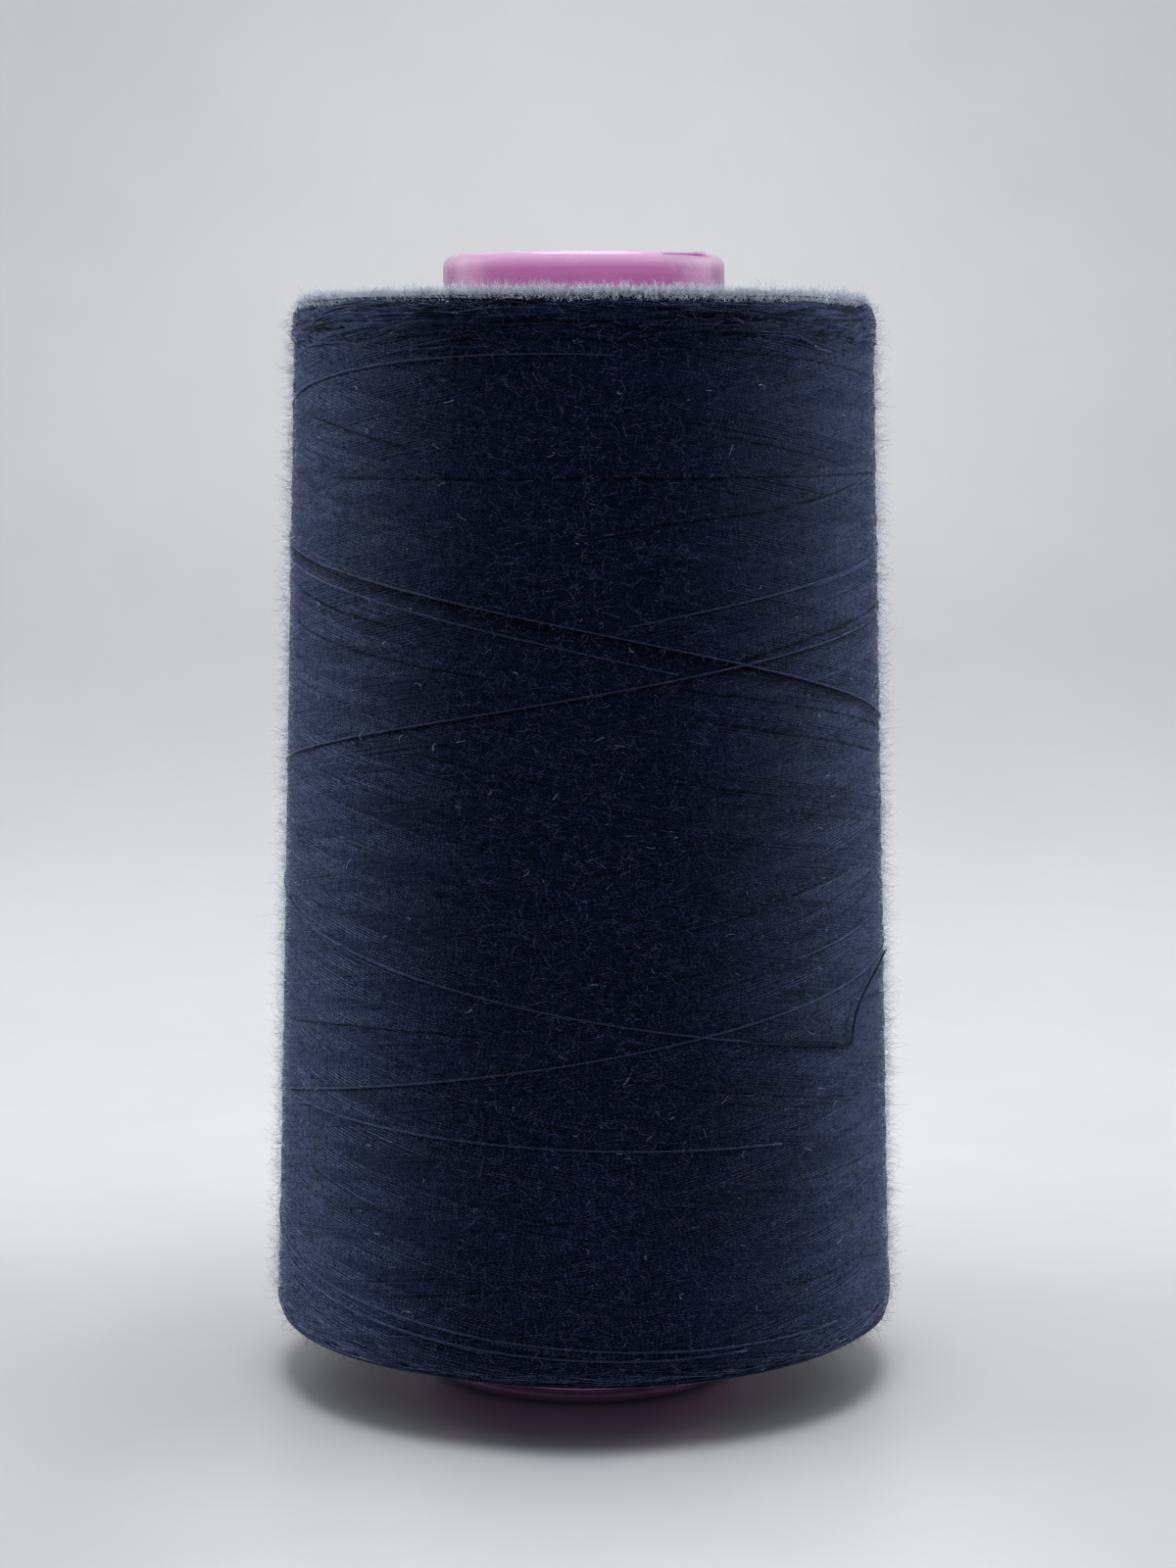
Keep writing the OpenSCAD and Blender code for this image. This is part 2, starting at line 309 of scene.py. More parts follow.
def wind():
    """Height field, owner of each cell, and passes (azimuth, z, centre, strand, proud)."""
    heights = np.zeros((ROWS, COLUMNS), np.float32)
    owner = np.full((ROWS, COLUMNS), -1, np.int32)
    turns = ((Z1 - Z0) - 2.4) / PITCH
    # revolutions in a double stroke: 6 and a sixth, and a little more, so that strands
    # close up after six double strokes
    girth = TAU * MEAN_R
    spacing = STRAND_GAP / math.sin(math.atan(PITCH / girth)) / girth
    double_revs = 6 + 1 / RIBBONS + spacing / RIBBONS
    stroke_revs = turns * double_revs / (2 * turns)
    start_az = math.radians(LAST_STROKE_AZ) - TAU * double_revs * STROKES
    passes = []
    inset = [0.0, 0.0]          # how far the reversals stop short at the foot and at the top
    n = int(stroke_revs * SAMPLES)
    wander = RNG.normal(0, 1, (2, RIBBONS, KNOTS + 3))
    x = np.arange(n) / n
    # straight run with rounded reversals
    w = 0.045
    run = (np.sqrt(x**2 + w**2) - w) - (np.sqrt((1 - x) ** 2 + w**2) - w)
    run = (run - run[0]) / (run[-1] - run[0])
    fade = np.clip(np.minimum(x, 1 - x) * 14, 0, 1)
    for k in range(2 * STROKES + 2):
        up = k % 2 == 0
        way, ribbon = int(up), (k // 2) % RIBBONS
        fresh = math.sqrt(1 - 0.985**2) * RNG.normal(0, 1, KNOTS + 3)
        wander[way, ribbon] = 0.985 * wander[way, ribbon] + fresh
        az = start_az + x * TAU * stroke_revs
        start_az += TAU * stroke_revs
        # ends of the stroke wander a little
        inset[way] = (abs(RNG.normal(0, 0.3))
                      + 0.35 * (1 + math.sin(k * 0.071 + (1.3 if up else 0))))
        low = Z0 + 0.55 + inset[0]
        high = Z1 - 0.45 - inset[1]
        share = run if up else 1 - run
        z = low + (high - low) * share
        # keep the straight run in step with its neighbours whatever the ends do
        in_step = (Z0 + 1.2) + (Z1 - Z0 - 2.4) * share
        z = in_step * fade + z * (1 - fade)
        z = z + fade * (0.24 * blend_knots(wander[way, ribbon], x * KNOTS)
                        + smooth_noise(n, SAMPLES * 0.12, 0.022) + RNG.normal(0, 0.018))
        if RNG.random() < 0.05:         # now and then a strand strays
            z = z + fade * smooth_noise(n, SAMPLES * 0.5, 0.35)
        z = np.clip(z, Z0 + 0.3, Z1 - 0.25)
        passes.append((az, z, lay_strand(heights, owner, az, z, k), k, 0.0))
    for k, (rise, z_front, bend, first, last, _, _) in enumerate(LAST, 2 * STROKES + 2):
        n = int((last - first) / 360 * SAMPLES)
        az = np.radians(np.linspace(first, last, n))
        z = np.clip(line_z(az, rise, z_front, bend), Z0 + 0.6, Z1 - 0.6)
        centre = lay_strand(heights, owner, az, z, k, peak_share=0.9)
        # both ends dive under the surface
        shown = np.clip(np.minimum(np.arange(n), n - 1 - np.arange(n)) / 20.0, 0, 1)
        passes.append((az, z, centre - (1 - shown) * 0.25, k, PROUD))
    return heights, owner, passes


def blur(field, reach, axis):
    """Box blur, cyclic round the package."""
    if axis == 1:
        padded = np.concatenate([field[:, -reach:], field, field[:, :reach]], axis=1)
    else:
        padded = np.concatenate([np.repeat(field[:1], reach, 0), field,
                                 np.repeat(field[-1:], reach, 0)], axis=0)
    total = np.cumsum(padded.astype(np.float64), axis=axis)
    w = 2 * reach
    if axis == 1:
        return ((total[:, w:] - total[:, :-w]) / w)[:, : field.shape[1]]
    return ((total[w:] - total[:-w]) / w)[: field.shape[0]]


HEIGHTS, OWNER, PASSES = wind()
SMOOTHED = HEIGHTS
for _ in range(3):
    SMOOTHED = blur(blur(SMOOTHED, 10, 0), 12, 1)
MEAN_HEIGHT = float(np.mean(HEIGHTS[40:-40]))


def settled(az, z, height):
    """Radius of a height on the settled package."""
    smooth = SMOOTHED[row_of(z), column_of(az)]
    return (pack_prof(z) - 0.07 + RELIEF * (height - smooth)
            + 0.06 * np.tanh((smooth - MEAN_HEIGHT) / 0.3))


# ---------------------------------------------------------------- wound strands
POINTS_PER_MESH = 22000


def visible_samples(az, z, strand, picked):
    """Which picked samples to keep: the strand owns the surface at, or next to, them."""
    columns, rows = column_of(az), row_of(z, 1)
    seen = np.zeros(len(az), bool)
    for j in (-1, 0, 1):
        seen |= OWNER[rows + j, columns] == strand
    seen |= (z > Z1 - 1.6) | (z < Z0 + 1.4)
    shown = np.add.reduceat(seen.astype(int), picked) > 0
    keep = shown.copy()
    for j in (1, 2):
        keep[j:] |= shown[:-j]
        keep[:-j] |= shown[j:]
    return keep


def collect_strands():
    """Points, normals, radii, run ids, tones and lengths along of all visible strands."""
    pieces = []
    last_run = 0
    for az_all, z_all, centre, strand, proud in PASSES:
        picked = np.arange(0, len(az_all), KEEP)
        az, z = az_all[picked], z_all[picked]
        keep = visible_samples(az_all, z_all, strand, picked)
        runs = last_run + np.cumsum(np.concatenate([[True], keep[1:] != keep[:-1]]))
        last_run = int(runs[-1]) + 1
        kept = keep.sum()
        if kept < 3:
            continue
        top = settled(az, z, centre[picked] + STACK * THREAD_D)
        pick = RNG.random()
        # painted shade: a few strands are made much darker to stand for the shaded gaps between
        # strands; a few others are lighter
        tone = RNG.normal(0, 0.5) if pick < 0.90 else (-2.2 if pick < 0.96 else 1.2)
        along = np.arange(len(az)) * (TAU * MEAN_R * KEEP / SAMPLES) + RNG.uniform(0, 5)
        pieces.append((
            polar(top - THREAD_D / 2 + proud, az, z)[keep],
            shoulder_normal(az, z)[keep],
            np.full(kept, THREAD_D * (0.52 if proud else 0.5)),
            runs[keep],
            np.full(kept, PROUD_TONE if proud else tone),
            along[keep],
        ))
    return [np.concatenate(column) for column in zip(*pieces)]


def make_strands():
    points, normals, radii, runs, tones, along = collect_strands()
    objs = []
    start = 0
    while start < len(points):
        end = min(start + POINTS_PER_MESH, len(points))
        while end < len(points) and runs[end] == runs[end - 1]:
            end += 1
        part = slice(start, end)
        tubes = sweep(points[part], normals[part], radii[part], runs[part], tones[part],
                      sides=4, flat=0.92, along=along[part])
        objs.append(make_mesh("wound_thread_%02d" % len(objs), *tubes))
        start = end
    return objs


# ---------------------------------------------------------------- body and end faces
def make_body(segments=360):
    """Turned body just under the strands, hollow for the core."""
    outer_z = np.concatenate([np.linspace(Z0 + 0.3, Z0 + 2.4, 10),
                              np.linspace(Z0 + 4, Z1 - 4, 50),
                              np.linspace(Z1 - 2.4, Z1 - 0.3, 10)])
    outer = [(float(pack_prof(z)) - 0.42, z) for z in outer_z]
    inner = [(core_r(z) + 0.03, z) for z in np.linspace(Z1 - 0.3, Z0 + 0.3, 12)]
    profile = np.asarray(outer + inner, float)
    n = len(profile)
    angles = np.arange(segments) * TAU / segments
    heights = np.broadcast_to(profile[:, 1][None], (segments, n))
    verts = polar(profile[:, 0][None], angles[:, None], heights).reshape(-1, 3)
    i = np.arange(segments)[:, None]
    j = np.arange(n)[None]
    i2 = (i + 1) % segments
    j2 = (j + 1) % n
    quads = np.stack([i * n + j, i2 * n + j, i2 * n + j2, i * n + j2], axis=-1).reshape(-1, 4)
    blank = np.zeros(len(verts))
    attrs = {"along": np.repeat(angles, n) * MEAN_R, "around": blank, "tone": blank}
    return make_mesh("wound_body", verts, [quads], attrs)


def make_end_face(name, z_face, facing):
    """Arcs of the strands that turn back at one end; facing is 1 for up, -1 for down."""
    r_in = core_r(z_face) + 0.2
    r_out = float(pack_prof(z_face - facing * 0.05)) - 0.2
    pieces = []
    arc_radii = np.arange(r_in, r_out + 1.0, 0.105)
    RNG.shuffle(arc_radii)
    for arc_r in arc_radii:
        for _ in range(2 if arc_r < 22 else 3):
            half = RNG.uniform(0.5, 1.15)
            middle = RNG.uniform(0, TAU)
            n = int(2 * half / math.radians(2.6))
            x = np.linspace(-1, 1, n)
            depth = RNG.uniform(0.0, 0.22) + 0.55 * x**2 * RNG.uniform(0.6, 1.4)
            r = arc_r + RNG.uniform(-0.05, 0.05) + x * RNG.uniform(-0.25, 0.25) + 0.12 * x**2
            z = z_face - facing * (THREAD_D / 2 + depth)
            pieces.append((
                polar(np.maximum(r, r_in), middle + x * half, z),
                np.tile([0, 0, float(facing)], (n, 1)),
                np.full(n, THREAD_D / 2),
                np.full(n, len(pieces)),
                np.full(n, RNG.uniform(-1, 1)),
                np.arange(n) * 0.9,
            ))
    *tubes, along = [np.concatenate(column) for column in zip(*pieces)]
    return make_mesh(name, *sweep(*tubes, along=along))


# ---------------------------------------------------------------- fibres standing off the thread
def fibres(roots, normals, tangents, length, radius, spread,
           points=5, sides=3, stand=(0.15, 1.0), curliness=1.0):
    """Curling, tapering fibres. length and stand are (least, most); stand is how strongly
    they follow the normal, spread how strongly they lean along the tangent."""
    n = len(roots)
    lengths = length[0] + (length[1] - length[0]) * RNG.beta(1.3, 2.6, n)
    start = unit(normals * RNG.uniform(*stand, (n, 1)) + tangents * RNG.normal(0, spread, (n, 1))
                 + RNG.normal(0, 0.35, (n, 3)))
    curl = unit(square_to(RNG.normal(0, 1, (n, 3)), start))
    twist = np.cross(start, curl)
    bend = RNG.normal(0, 1.5 * curliness, n)
    bend2 = RNG.normal(0, 1.2 * curliness, n)
    path = [roots - start * 0.05]
    at = roots
    for j in range(1, points):
        t = j / (points - 1)
        angle = bend * t
        angle2 = bend2 * t * t
        heading = unit(start * np.cos(angle)[:, None] + curl * np.sin(angle)[:, None]
                       + twist * np.sin(angle2)[:, None])
        # fibres that turn back towards the thread slide along it
        inward = np.sum(heading * normals, axis=1)
        heading = heading + normals * np.where(inward < -0.1, -0.1 - inward, 0)[:, None]
        at = at + heading * (lengths / (points - 1))[:, None]
        path.append(at)
    taper = np.tile(np.linspace(1, 0.45, points), n)
    radii = np.repeat(radius * RNG.uniform(0.7, 1.3, n), points) * taper
    tone = np.repeat(RNG.uniform(-1, 1, n), points)
    return sweep(np.stack(path, axis=1).reshape(-1, 3), np.repeat(curl, points, axis=0), radii,
                 np.repeat(np.arange(n), points), tone, sides=sides, cap=False)


def side_fibres(name, count, **shape):
    """Fibres rooted all over the side of the package."""
    z = RNG.uniform(Z0 + 0.4, Z1 - 0.2, count)
    az = RNG.uniform(0, TAU, count)
    roots = polar(settled(az, z, HEIGHTS[row_of(z), column_of(az)]) + 0.1, az, z)
    slope = np.where(RNG.random(count) < 0.5, 0.17, -0.17)
    tangents = np.stack([-np.sin(az), np.cos(az), slope], axis=-1)
    return make_mesh(name, *fibres(roots, shoulder_normal(az, z), tangents, **shape))


# an upright pile on the upper shoulder and the end face.
# Columns: count, inner and outer radius, greatest length
PILES = [(7900, 27.6, 31.1, 2.1), (7900, 28.6, 31.3, 1.8),
         (7900, 29.4, 31.4, 1.5), (5200, 15.9, 29.8, 1.7)]


def make_pile(name, count, r_in, r_out, longest):
    r = np.sqrt(RNG.uniform(r_in**2, r_out**2, count))
    az = RNG.uniform(0, TAU, count)
    edge = np.clip((r - (PACK_TOP - TOP_ROUND_W)) / TOP_ROUND_W, 0, 1)
    z = Z1 - 0.05 - TOP_ROUND_H * (1 - np.sqrt(1 - np.minimum(edge, 0.97) ** 2))
    normals = unit(polar(0.3 * edge, az, np.ones(count)))
    tangents = np.stack([-np.sin(az), np.cos(az), np.zeros(count)], axis=-1)
    return make_mesh(name, *fibres(polar(r, az, z), normals, tangents, length=(0.5, longest),
                                   radius=0.021, spread=0.45, stand=(0.5, 1.2), curliness=0.8))


def make_slipped_turns():
    """Turns that slipped at the upper shoulder and lie loosely in bundles."""
    parts = []
    for _ in range(110):
        middle = RNG.uniform(0, TAU)
        half = RNG.uniform(0.08, 0.30)
        z_mid = Z1 - 1.0 - 5.0 * RNG.beta(1.0, 1.9)
        lean = RNG.normal(0, 0.45)
        arch = RNG.uniform(-0.2, 0.9)
        lift = RNG.uniform(0.02, 0.22)
        for w in range(RNG.integers(1, 5)):
            n = int(2 * half * 33 / 0.8) + 4
            x = np.linspace(-1, 1, n)
            az = middle + half * x * RNG.uniform(0.8, 1.1)
            z = (z_mid + w * RNG.uniform(0.15, 0.32) + lean * x * half * 3 - arch * x**2
                 + 0.05 * np.sin(x * 5 + w))
            z = np.minimum(z, Z1 - 0.35)
            free = 1 - x**4
            up = lift * free - 0.16 * (1 - free) - 0.02
            normals = shoulder_normal(az, z)
            lifted = normals * (up + RNG.uniform(0, 0.08))[:, None]
            tone = np.full(n, RNG.choice([-1.0, 0.5, 1.8, 2.5]))
            parts.append(sweep(polar(pack_prof(z), az, z) + lifted, normals,
                               np.full(n, THREAD_D * 0.5), np.zeros(n, int), tone, sides=6))
    return make_mesh("wound_slipped_turns", *join_parts(parts))


# ---------------------------------------------------------------- loose end, as two twisted plies
PLY_TWIST = 0.95                # length of a full twist
PLY_R, PLY_OFF = 0.068, 0.056   # ply radius and its distance from the centre line
PLY_STEP = 0.11
FRAY = 1.6                      # how far the plies open at the free end
TAIL_TOP, TAIL_TURN_Z = 48.8, 40.8      # the first leg falls from one height to the other
TAIL_TURN_AZ, TAIL_TURN_W, TAIL_TURN_H = -33.35, 0.85, 0.5  # centre, half width (deg), drop


def loose_end_path():
    """A leg that falls along the side, a small turn, and a leg that rises to the left."""
    stand_off = THREAD_D / 2 + 0.1
    t = np.linspace(0, 1, 40)
    z = TAIL_TOP + (TAIL_TURN_Z - TAIL_TOP) * t
    lift = 0.35 * np.sin(np.pi * t) + 0.3 * (1 - t) ** 6
    az = TAIL_TURN_AZ + TAIL_TURN_W + 19 * (1 - t) ** 2.9
    falling = polar(pack_r(z) + stand_off + lift, np.radians(az), z)
    t = np.radians(np.arange(1, 6) * 18)
    z = TAIL_TURN_Z - TAIL_TURN_H * np.sin(t)
    az = TAIL_TURN_AZ + TAIL_TURN_W * np.cos(t)
    turn = polar(pack_r(z) + stand_off, np.radians(az), z)
    t = np.linspace(0, 1, 20)[1:]
    z = TAIL_TURN_Z - TAIL_TURN_H + 2.6 * t
    rising = polar(pack_r(z) + stand_off - 0.12 * t, np.radians(TAIL_TURN_AZ - 26 * t), z)
    return np.concatenate([falling, turn, rising])


def make_loose_end():
    path = loose_end_path()
    steps = np.linalg.norm(np.diff(path, axis=0), axis=1)
    lengths = np.concatenate([[0], np.cumsum(steps)])
    n = int(lengths[-1] / PLY_STEP)
    along = np.linspace(0, lengths[-1], n)
    # smooth the sampled path
    kernel = np.hanning(9)[1:-1]
    kernel /= kernel.sum()
    axes = []
    for k in range(3):
        padded = np.pad(np.interp(along, lengths, path[:, k]), 3,
                        mode="reflect", reflect_type="odd")
        axes.append(np.convolve(padded, kernel, "valid"))
    centres = np.stack(axes, axis=-1)
    tangents = unit(np.gradient(centres, axis=0))
    outward = unit(centres * [1, 1, 0])
    normals = unit(square_to(outward, tangents))
    sideways = np.cross(tangents, normals)
    opening = 1 + FRAY * np.exp(-along / 0.6)
    parts = []
    for ply in range(2):
        angle = along / PLY_TWIST * TAU + ply * math.pi
        offset = (np.cos(angle)[:, None] * normals
                  + np.sin(angle)[:, None] * sideways) * (PLY_OFF * opening)[:, None]
        parts.append(sweep(centres + offset, normals, np.full(n, PLY_R), np.full(n, ply),
                           np.zeros(n), sides=6, along=along))
    # fibres along it
    count = int(lengths[-1] * 3.2)
    i = RNG.integers(2, n - 2, count)
    away = square_to(RNG.normal(0, 1, (count, 3)), tangents[i])
    away = unit(away + outward[i] * 1.1)
    parts.append(fibres(centres[i] + away * 0.09, away, tangents[i],
                        length=(0.2, 1.3), radius=0.011, spread=0.9))
    # and a tuft at the frayed end
    count = 14
    away = unit(-tangents[0] + RNG.normal(0, 0.45, (count, 3)))
    parts.append(fibres(np.repeat(centres[:1], count, axis=0), away,
                        np.repeat(tangents[:1], count, axis=0),
                        length=(0.3, 1.0), radius=0.013, spread=0.3))
    return make_mesh("thread_loose_end", *join_parts(parts))


# ---------------------------------------------------------------- build; the order fixes the draws
thread_objs = make_strands()
body = make_body()
top_face = make_end_face("wound_top_face", Z1, 1)
bottom_face = make_end_face("wound_bottom_face", Z0, -1)

FUZZ = dict(length=(0.8, 3.4), spread=0.5, points=6, stand=(0.5, 1.3), curliness=0.9)
NAP = dict(length=(0.8, 2.5), radius=0.0215, spread=0.35, stand=(0.8, 1.6), curliness=0.95)
navy_fibres = [side_fibres("thread_fuzz_0", 5400, radius=0.0135, **FUZZ)]
# these fibres get painted rim light from their material
rim_lit_fibres = [side_fibres("thread_fuzz_%d" % i, 5400, radius=0.019, **FUZZ) for i in (1, 2)]
rim_lit_fibres += [side_fibres("thread_nap_%d" % i, 8200, **NAP) for i in range(5)]
navy_fibres.append(side_fibres("thread_nap_5", 10800, length=(0.25, 1.15), radius=0.0125,
                               spread=0.7, points=4))
rim_lit_fibres.append(side_fibres("thread_fuzz_pale", 2600, length=(0.8, 3.0), radius=0.016,
                               spread=0.6, points=6, stand=(0.4, 1.1), curliness=1.1))
pile_objs = [make_pile("thread_pile_%d" % i, *row) for i, row in enumerate(PILES)]
# small pale bits of lint caught on the surface
lint = side_fibres("lint_specks", 560, length=(0.3, 1.7), radius=0.039, spread=2.2,
                   points=7, sides=4)
thread_objs.append(make_slipped_turns())
loose_end = make_loose_end()


# ---------------------------------------------------------------- shader helpers
class Shader:
    """Adds nodes to a tree; each method returns an output socket unless it says otherwise."""

    def __init__(self, tree):
        self.tree = tree

    def feed(self, socket, value):
        """Links a socket to another, or sets its value."""
        if isinstance(value, bpy.types.NodeSocket):
            self.tree.links.new(value, socket)
        else:
            socket.default_value = value

    def node(self, kind, inputs=None, **settings):
        """Returns the node itself."""
        made = self.tree.nodes.new(kind)
        for key, value in settings.items():
            setattr(made, key, value)
        for key, value in (inputs or {}).items():
            self.feed(made.inputs[key], value)
        return made

    def coords(self, kind="Object"):
        return self.node("ShaderNodeTexCoord").outputs[kind]

    def attribute(self, name):
        return self.node("ShaderNodeAttribute", attribute_name=name).outputs["Fac"]

    def separate(self, vector):
        """Returns the x, y and z sockets."""
        return self.node("ShaderNodeSeparateXYZ", {0: vector}).outputs

    def combine(self, x, y, z=0.0):
        return self.node("ShaderNodeCombineXYZ", {0: x, 1: y, 2: z}).outputs[0]

    def math(self, operation, first, second=None, clamp=False):
        inputs = {0: first} if second is None else {0: first, 1: second}
        made = self.node("ShaderNodeMath", inputs, operation=operation, use_clamp=clamp)
        return made.outputs[0]

    def add(self, first, second, clamp=False):
        return self.math("ADD", first, second, clamp)

    def sub(self, first, second):
        return self.math("SUBTRACT", first, second)

    def mul(self, first, second, clamp=False):
        return self.math("MULTIPLY", first, second, clamp)

    def vector_math(self, operation, inputs):
        made = self.node("ShaderNodeVectorMath", inputs, operation=operation)
        return made.outputs["Value" if operation == "DOT_PRODUCT" else "Vector"]

    def scaled(self, vector, factor):
        return self.vector_math("SCALE", {0: vector, "Scale": factor})

    def ramp(self, value, stops):
        """stops are (position, colour)."""
        made = self.node("ShaderNodeValToRGB", {0: value})
        elements = made.color_ramp.elements
        while len(elements) < len(stops):
            elements.new(0.5)
        for element, (position, color) in zip(elements, stops):
            element.position = position
            element.color = (*color, 1)
        return made.outputs[0]

    def mix_color(self, factor, first, second):
        return self.node("ShaderNodeMix", {0: factor, 6: first, 7: second},
                         data_type="RGBA").outputs[2]

    def noise(self, vector, scale, detail, roughness=0.55):
        return self.node("ShaderNodeTexNoise", {
            "Scale": scale, "Detail": detail, "Roughness": roughness, "Vector": vector,
        }).outputs["Fac"]

    def map(self, value, span, to, shape="SMOOTHSTEP"):
        """Carries the two ends of span to the two ends of to."""
        return self.node("ShaderNodeMapRange", {
            "From Min": span[0], "From Max": span[1], "To Min": to[0], "To Max": to[1],
            "Value": value,
        }, interpolation_type=shape).outputs[0]

    def bump(self, height, strength, distance):
        return self.node("ShaderNodeBump", {
            "Strength": strength, "Distance": distance, "Height": height}).outputs[0]

    def principled(self, inputs):
        return self.node("ShaderNodeBsdfPrincipled", inputs).outputs[0]

    def output(self, surface):
        self.node("ShaderNodeOutputMaterial", {0: surface})


def new_material(name):
    material = bpy.data.materials.new(name)
    material.use_nodes = True
    material.node_tree.nodes.clear()
    return material, Shader(material.node_tree)


def srgb(*channels):
    """Linear colour from 8-bit sRGB."""
    shares = [c / 255 for c in channels]
    return tuple(c / 12.92 if c <= 0.04045 else ((c + 0.055) / 1.055) ** 2.4 for c in shares)


# ---------------------------------------------------------------- thread material
SHEEN = srgb(158, 172, 220)


def lay_marks(sh, az, height, tone):
    """Long thin marks along both directions of the lay: dark ones are painted shade in the gaps
    between strands, and pale ones add to the tone.
    """
    shade = None
    near_top = sh.map(height, span=(112.5, 116.0), to=(0.0, 1.0))

    def streaks(across, across_scale, around_scale, seed):
        vector = sh.combine(sh.mul(across, across_scale), sh.mul(az, around_scale),
                            seed + 10 * across_scale)
        marks = sh.noise(vector, scale=1.0, detail=1, roughness=0.4)
        return sh.add(marks, sh.mul(near_top, 0.05))

    for direction, seed in ((1, 3.0), (-1, 40.0)):
        across = sh.add(height, sh.mul(az, -direction * PITCH / TAU))
        dark = sh.map(streaks(across, across_scale=5.6, around_scale=1.7, seed=seed),
                      span=(0.66, 0.74), to=(1.0, 0.45))
        shade = dark if shade is None else sh.mul(shade, dark)
        pale = streaks(across, across_scale=3.6, around_scale=2.2, seed=seed)
        tone = sh.add(tone, sh.map(pale, span=(0.64, 0.78), to=(0.0, 0.25)))
    return shade, tone


def slack_shade(sh, az, height):
    """Painted shade in the gaps between the loose turns near the upper shoulder."""
    vector = sh.combine(sh.mul(sh.add(height, sh.mul(az, -1.2)), 1.5), sh.mul(az, 3.2))
    slack = sh.map(sh.noise(vector, scale=1.0, detail=3, roughness=0.6),
                   span=(0.50, 0.60), to=(0.0, 0.75))
    slack = sh.mul(slack, sh.map(height, span=(113.2, 116.5), to=(0.0, 1.0)))
    return sh.sub(1.0, slack)


def line_shades(sh, az, height, shade):
    """Painted shade under the strands laid last, and along the partings."""
    degrees = sh.mul(az, 360 / TAU)
    from_front = sh.add(az, math.pi / 2)
    square = sh.math("MINIMUM", sh.mul(from_front, from_front), BEND_TO**2)
    vector = sh.combine(sh.mul(az, 9.0), sh.mul(height, 0.25))
    wobble = sh.noise(vector, scale=1.0, detail=2, roughness=0.6)
    waver = sh.mul(sh.sub(wobble, 0.5), 0.5)
    broken = sh.map(sh.noise(vector, scale=2.3, detail=2, roughness=0.6),
                    span=(0.28, 0.50), to=(0.55, 1.0))
    for line, is_last in [(row, True) for row in LAST] + [(row, False) for row in PARTINGS]:
        rise, z_front, bend, first, last, reach, darkness = line
        line_height = sh.add(sh.mul(from_front, rise / TAU), z_front)
        if bend:
            line_height = sh.add(line_height, sh.mul(square, bend))
        gap = sh.sub(height, line_height)
        if is_last:
            dark = sh.mul(sh.map(gap, span=(-reach, -0.12), to=(0.0, 1.0)),
                          sh.map(gap, span=(-0.10, -0.02), to=(darkness, 0.0)))
        else:
            gap = sh.math("ABSOLUTE", sh.add(gap, waver))
            dark = sh.mul(sh.map(gap, span=(reach * 0.4, reach * 1.35),
                                 to=(darkness * 1.1, 0.0)), broken)
        if first > -180:
            dark = sh.mul(dark, sh.map(degrees, span=(first, first + 9), to=(0.0, 1.0)))
        dark = sh.mul(dark, sh.map(degrees, span=(last - 9, last), to=(1.0, 0.0)))
        shade = sh.mul(shade, sh.sub(1.0, dark))
    return shade


def thread_material(name, dark, light, sheen_weight, roughness=0.78, bump=0.5, wound=False):
    material, sh = new_material(name)
    coords = sh.coords()
    along = sh.attribute("along")
    around = sh.attribute("around")
    strand_tone = sh.attribute("tone")
    # two plies twisted together: a diagonal wave along the thread
    phase = sh.add(sh.mul(along, TAU / PLY_TWIST), around)
    ply = sh.math("ABSOLUTE", sh.math("SINE", phase))
    fibre = sh.noise(coords, scale=5200, detail=3, roughness=0.7)
    blotch = sh.noise(coords, scale=60, detail=4, roughness=0.5)
    mottle = sh.noise(coords, scale=1500, detail=3, roughness=0.6)
    tone = sh.add(sh.mul(strand_tone, 0.08), 0.5)
    # source, its middle value, and how strongly it shows; the ply wave darkens the grooves
    # between the plies as painted shade
    for source, middle, gain in ((mottle, 0.5, 0.55), (fibre, 0.5, 0.8),
                                 (blotch, 0.5, 0.35), (ply, 0.64, 0.14)):
        tone = sh.add(tone, sh.mul(sh.sub(source, middle), gain))
    if wound:
        x, y, z = sh.separate(coords)
        az = sh.math("ARCTAN2", y, x)
        height = sh.mul(z, 1000.0)      # in mm
        shade, tone = lay_marks(sh, az, height, tone)
        shade = sh.mul(shade, slack_shade(sh, az, height))
        shade = line_shades(sh, az, height, shade)
        # strands laid last are on top: they stay out of the painted shade and keep their own tone
        on_top = sh.map(strand_tone, span=(2.6, 3.0), to=(0.0, 1.0))
        shade = sh.math("MAXIMUM", shade, on_top)
    tone = sh.math("MAXIMUM", tone, 0.0, clamp=True)
    color = sh.ramp(tone, [(0.08, tuple(0.5 * c for c in dark)), (0.42, dark), (1.0, light)])
    if wound:
        # painted light: the proud strands laid last get a lighter colour, as if lit from above
        lit_strand_color = sh.ramp(tone, [(0.2, srgb(20, 31, 54)), (0.9, srgb(44, 58, 88))])
        color = sh.scaled(sh.mix_color(on_top, color, lit_strand_color), shade)
        # the sheen is grainy and goes out in the shade
        grain = sh.add(sh.mul(fibre, 3.2), sh.mul(mottle, 2.6))
        grain = sh.math("MAXIMUM", sh.sub(grain, 1.9), 0.1)
        sheen_weight = sh.mul(sh.mul(shade, grain), sheen_weight, clamp=True)
    relief = sh.add(ply, sh.mul(fibre, 0.6))
    sh.output(sh.principled({
        "Base Color": color,
        "Roughness": sh.add(sh.mul(fibre, 0.25), roughness - 0.12, clamp=True),
        "Specular IOR Level": 0.06,
        "Sheen Weight": sheen_weight,
        "Sheen Roughness": 0.38,
        "Sheen Tint": (*SHEEN, 1),
        "Normal": sh.bump(relief, strength=bump, distance=0.00006),
    }))
    return material


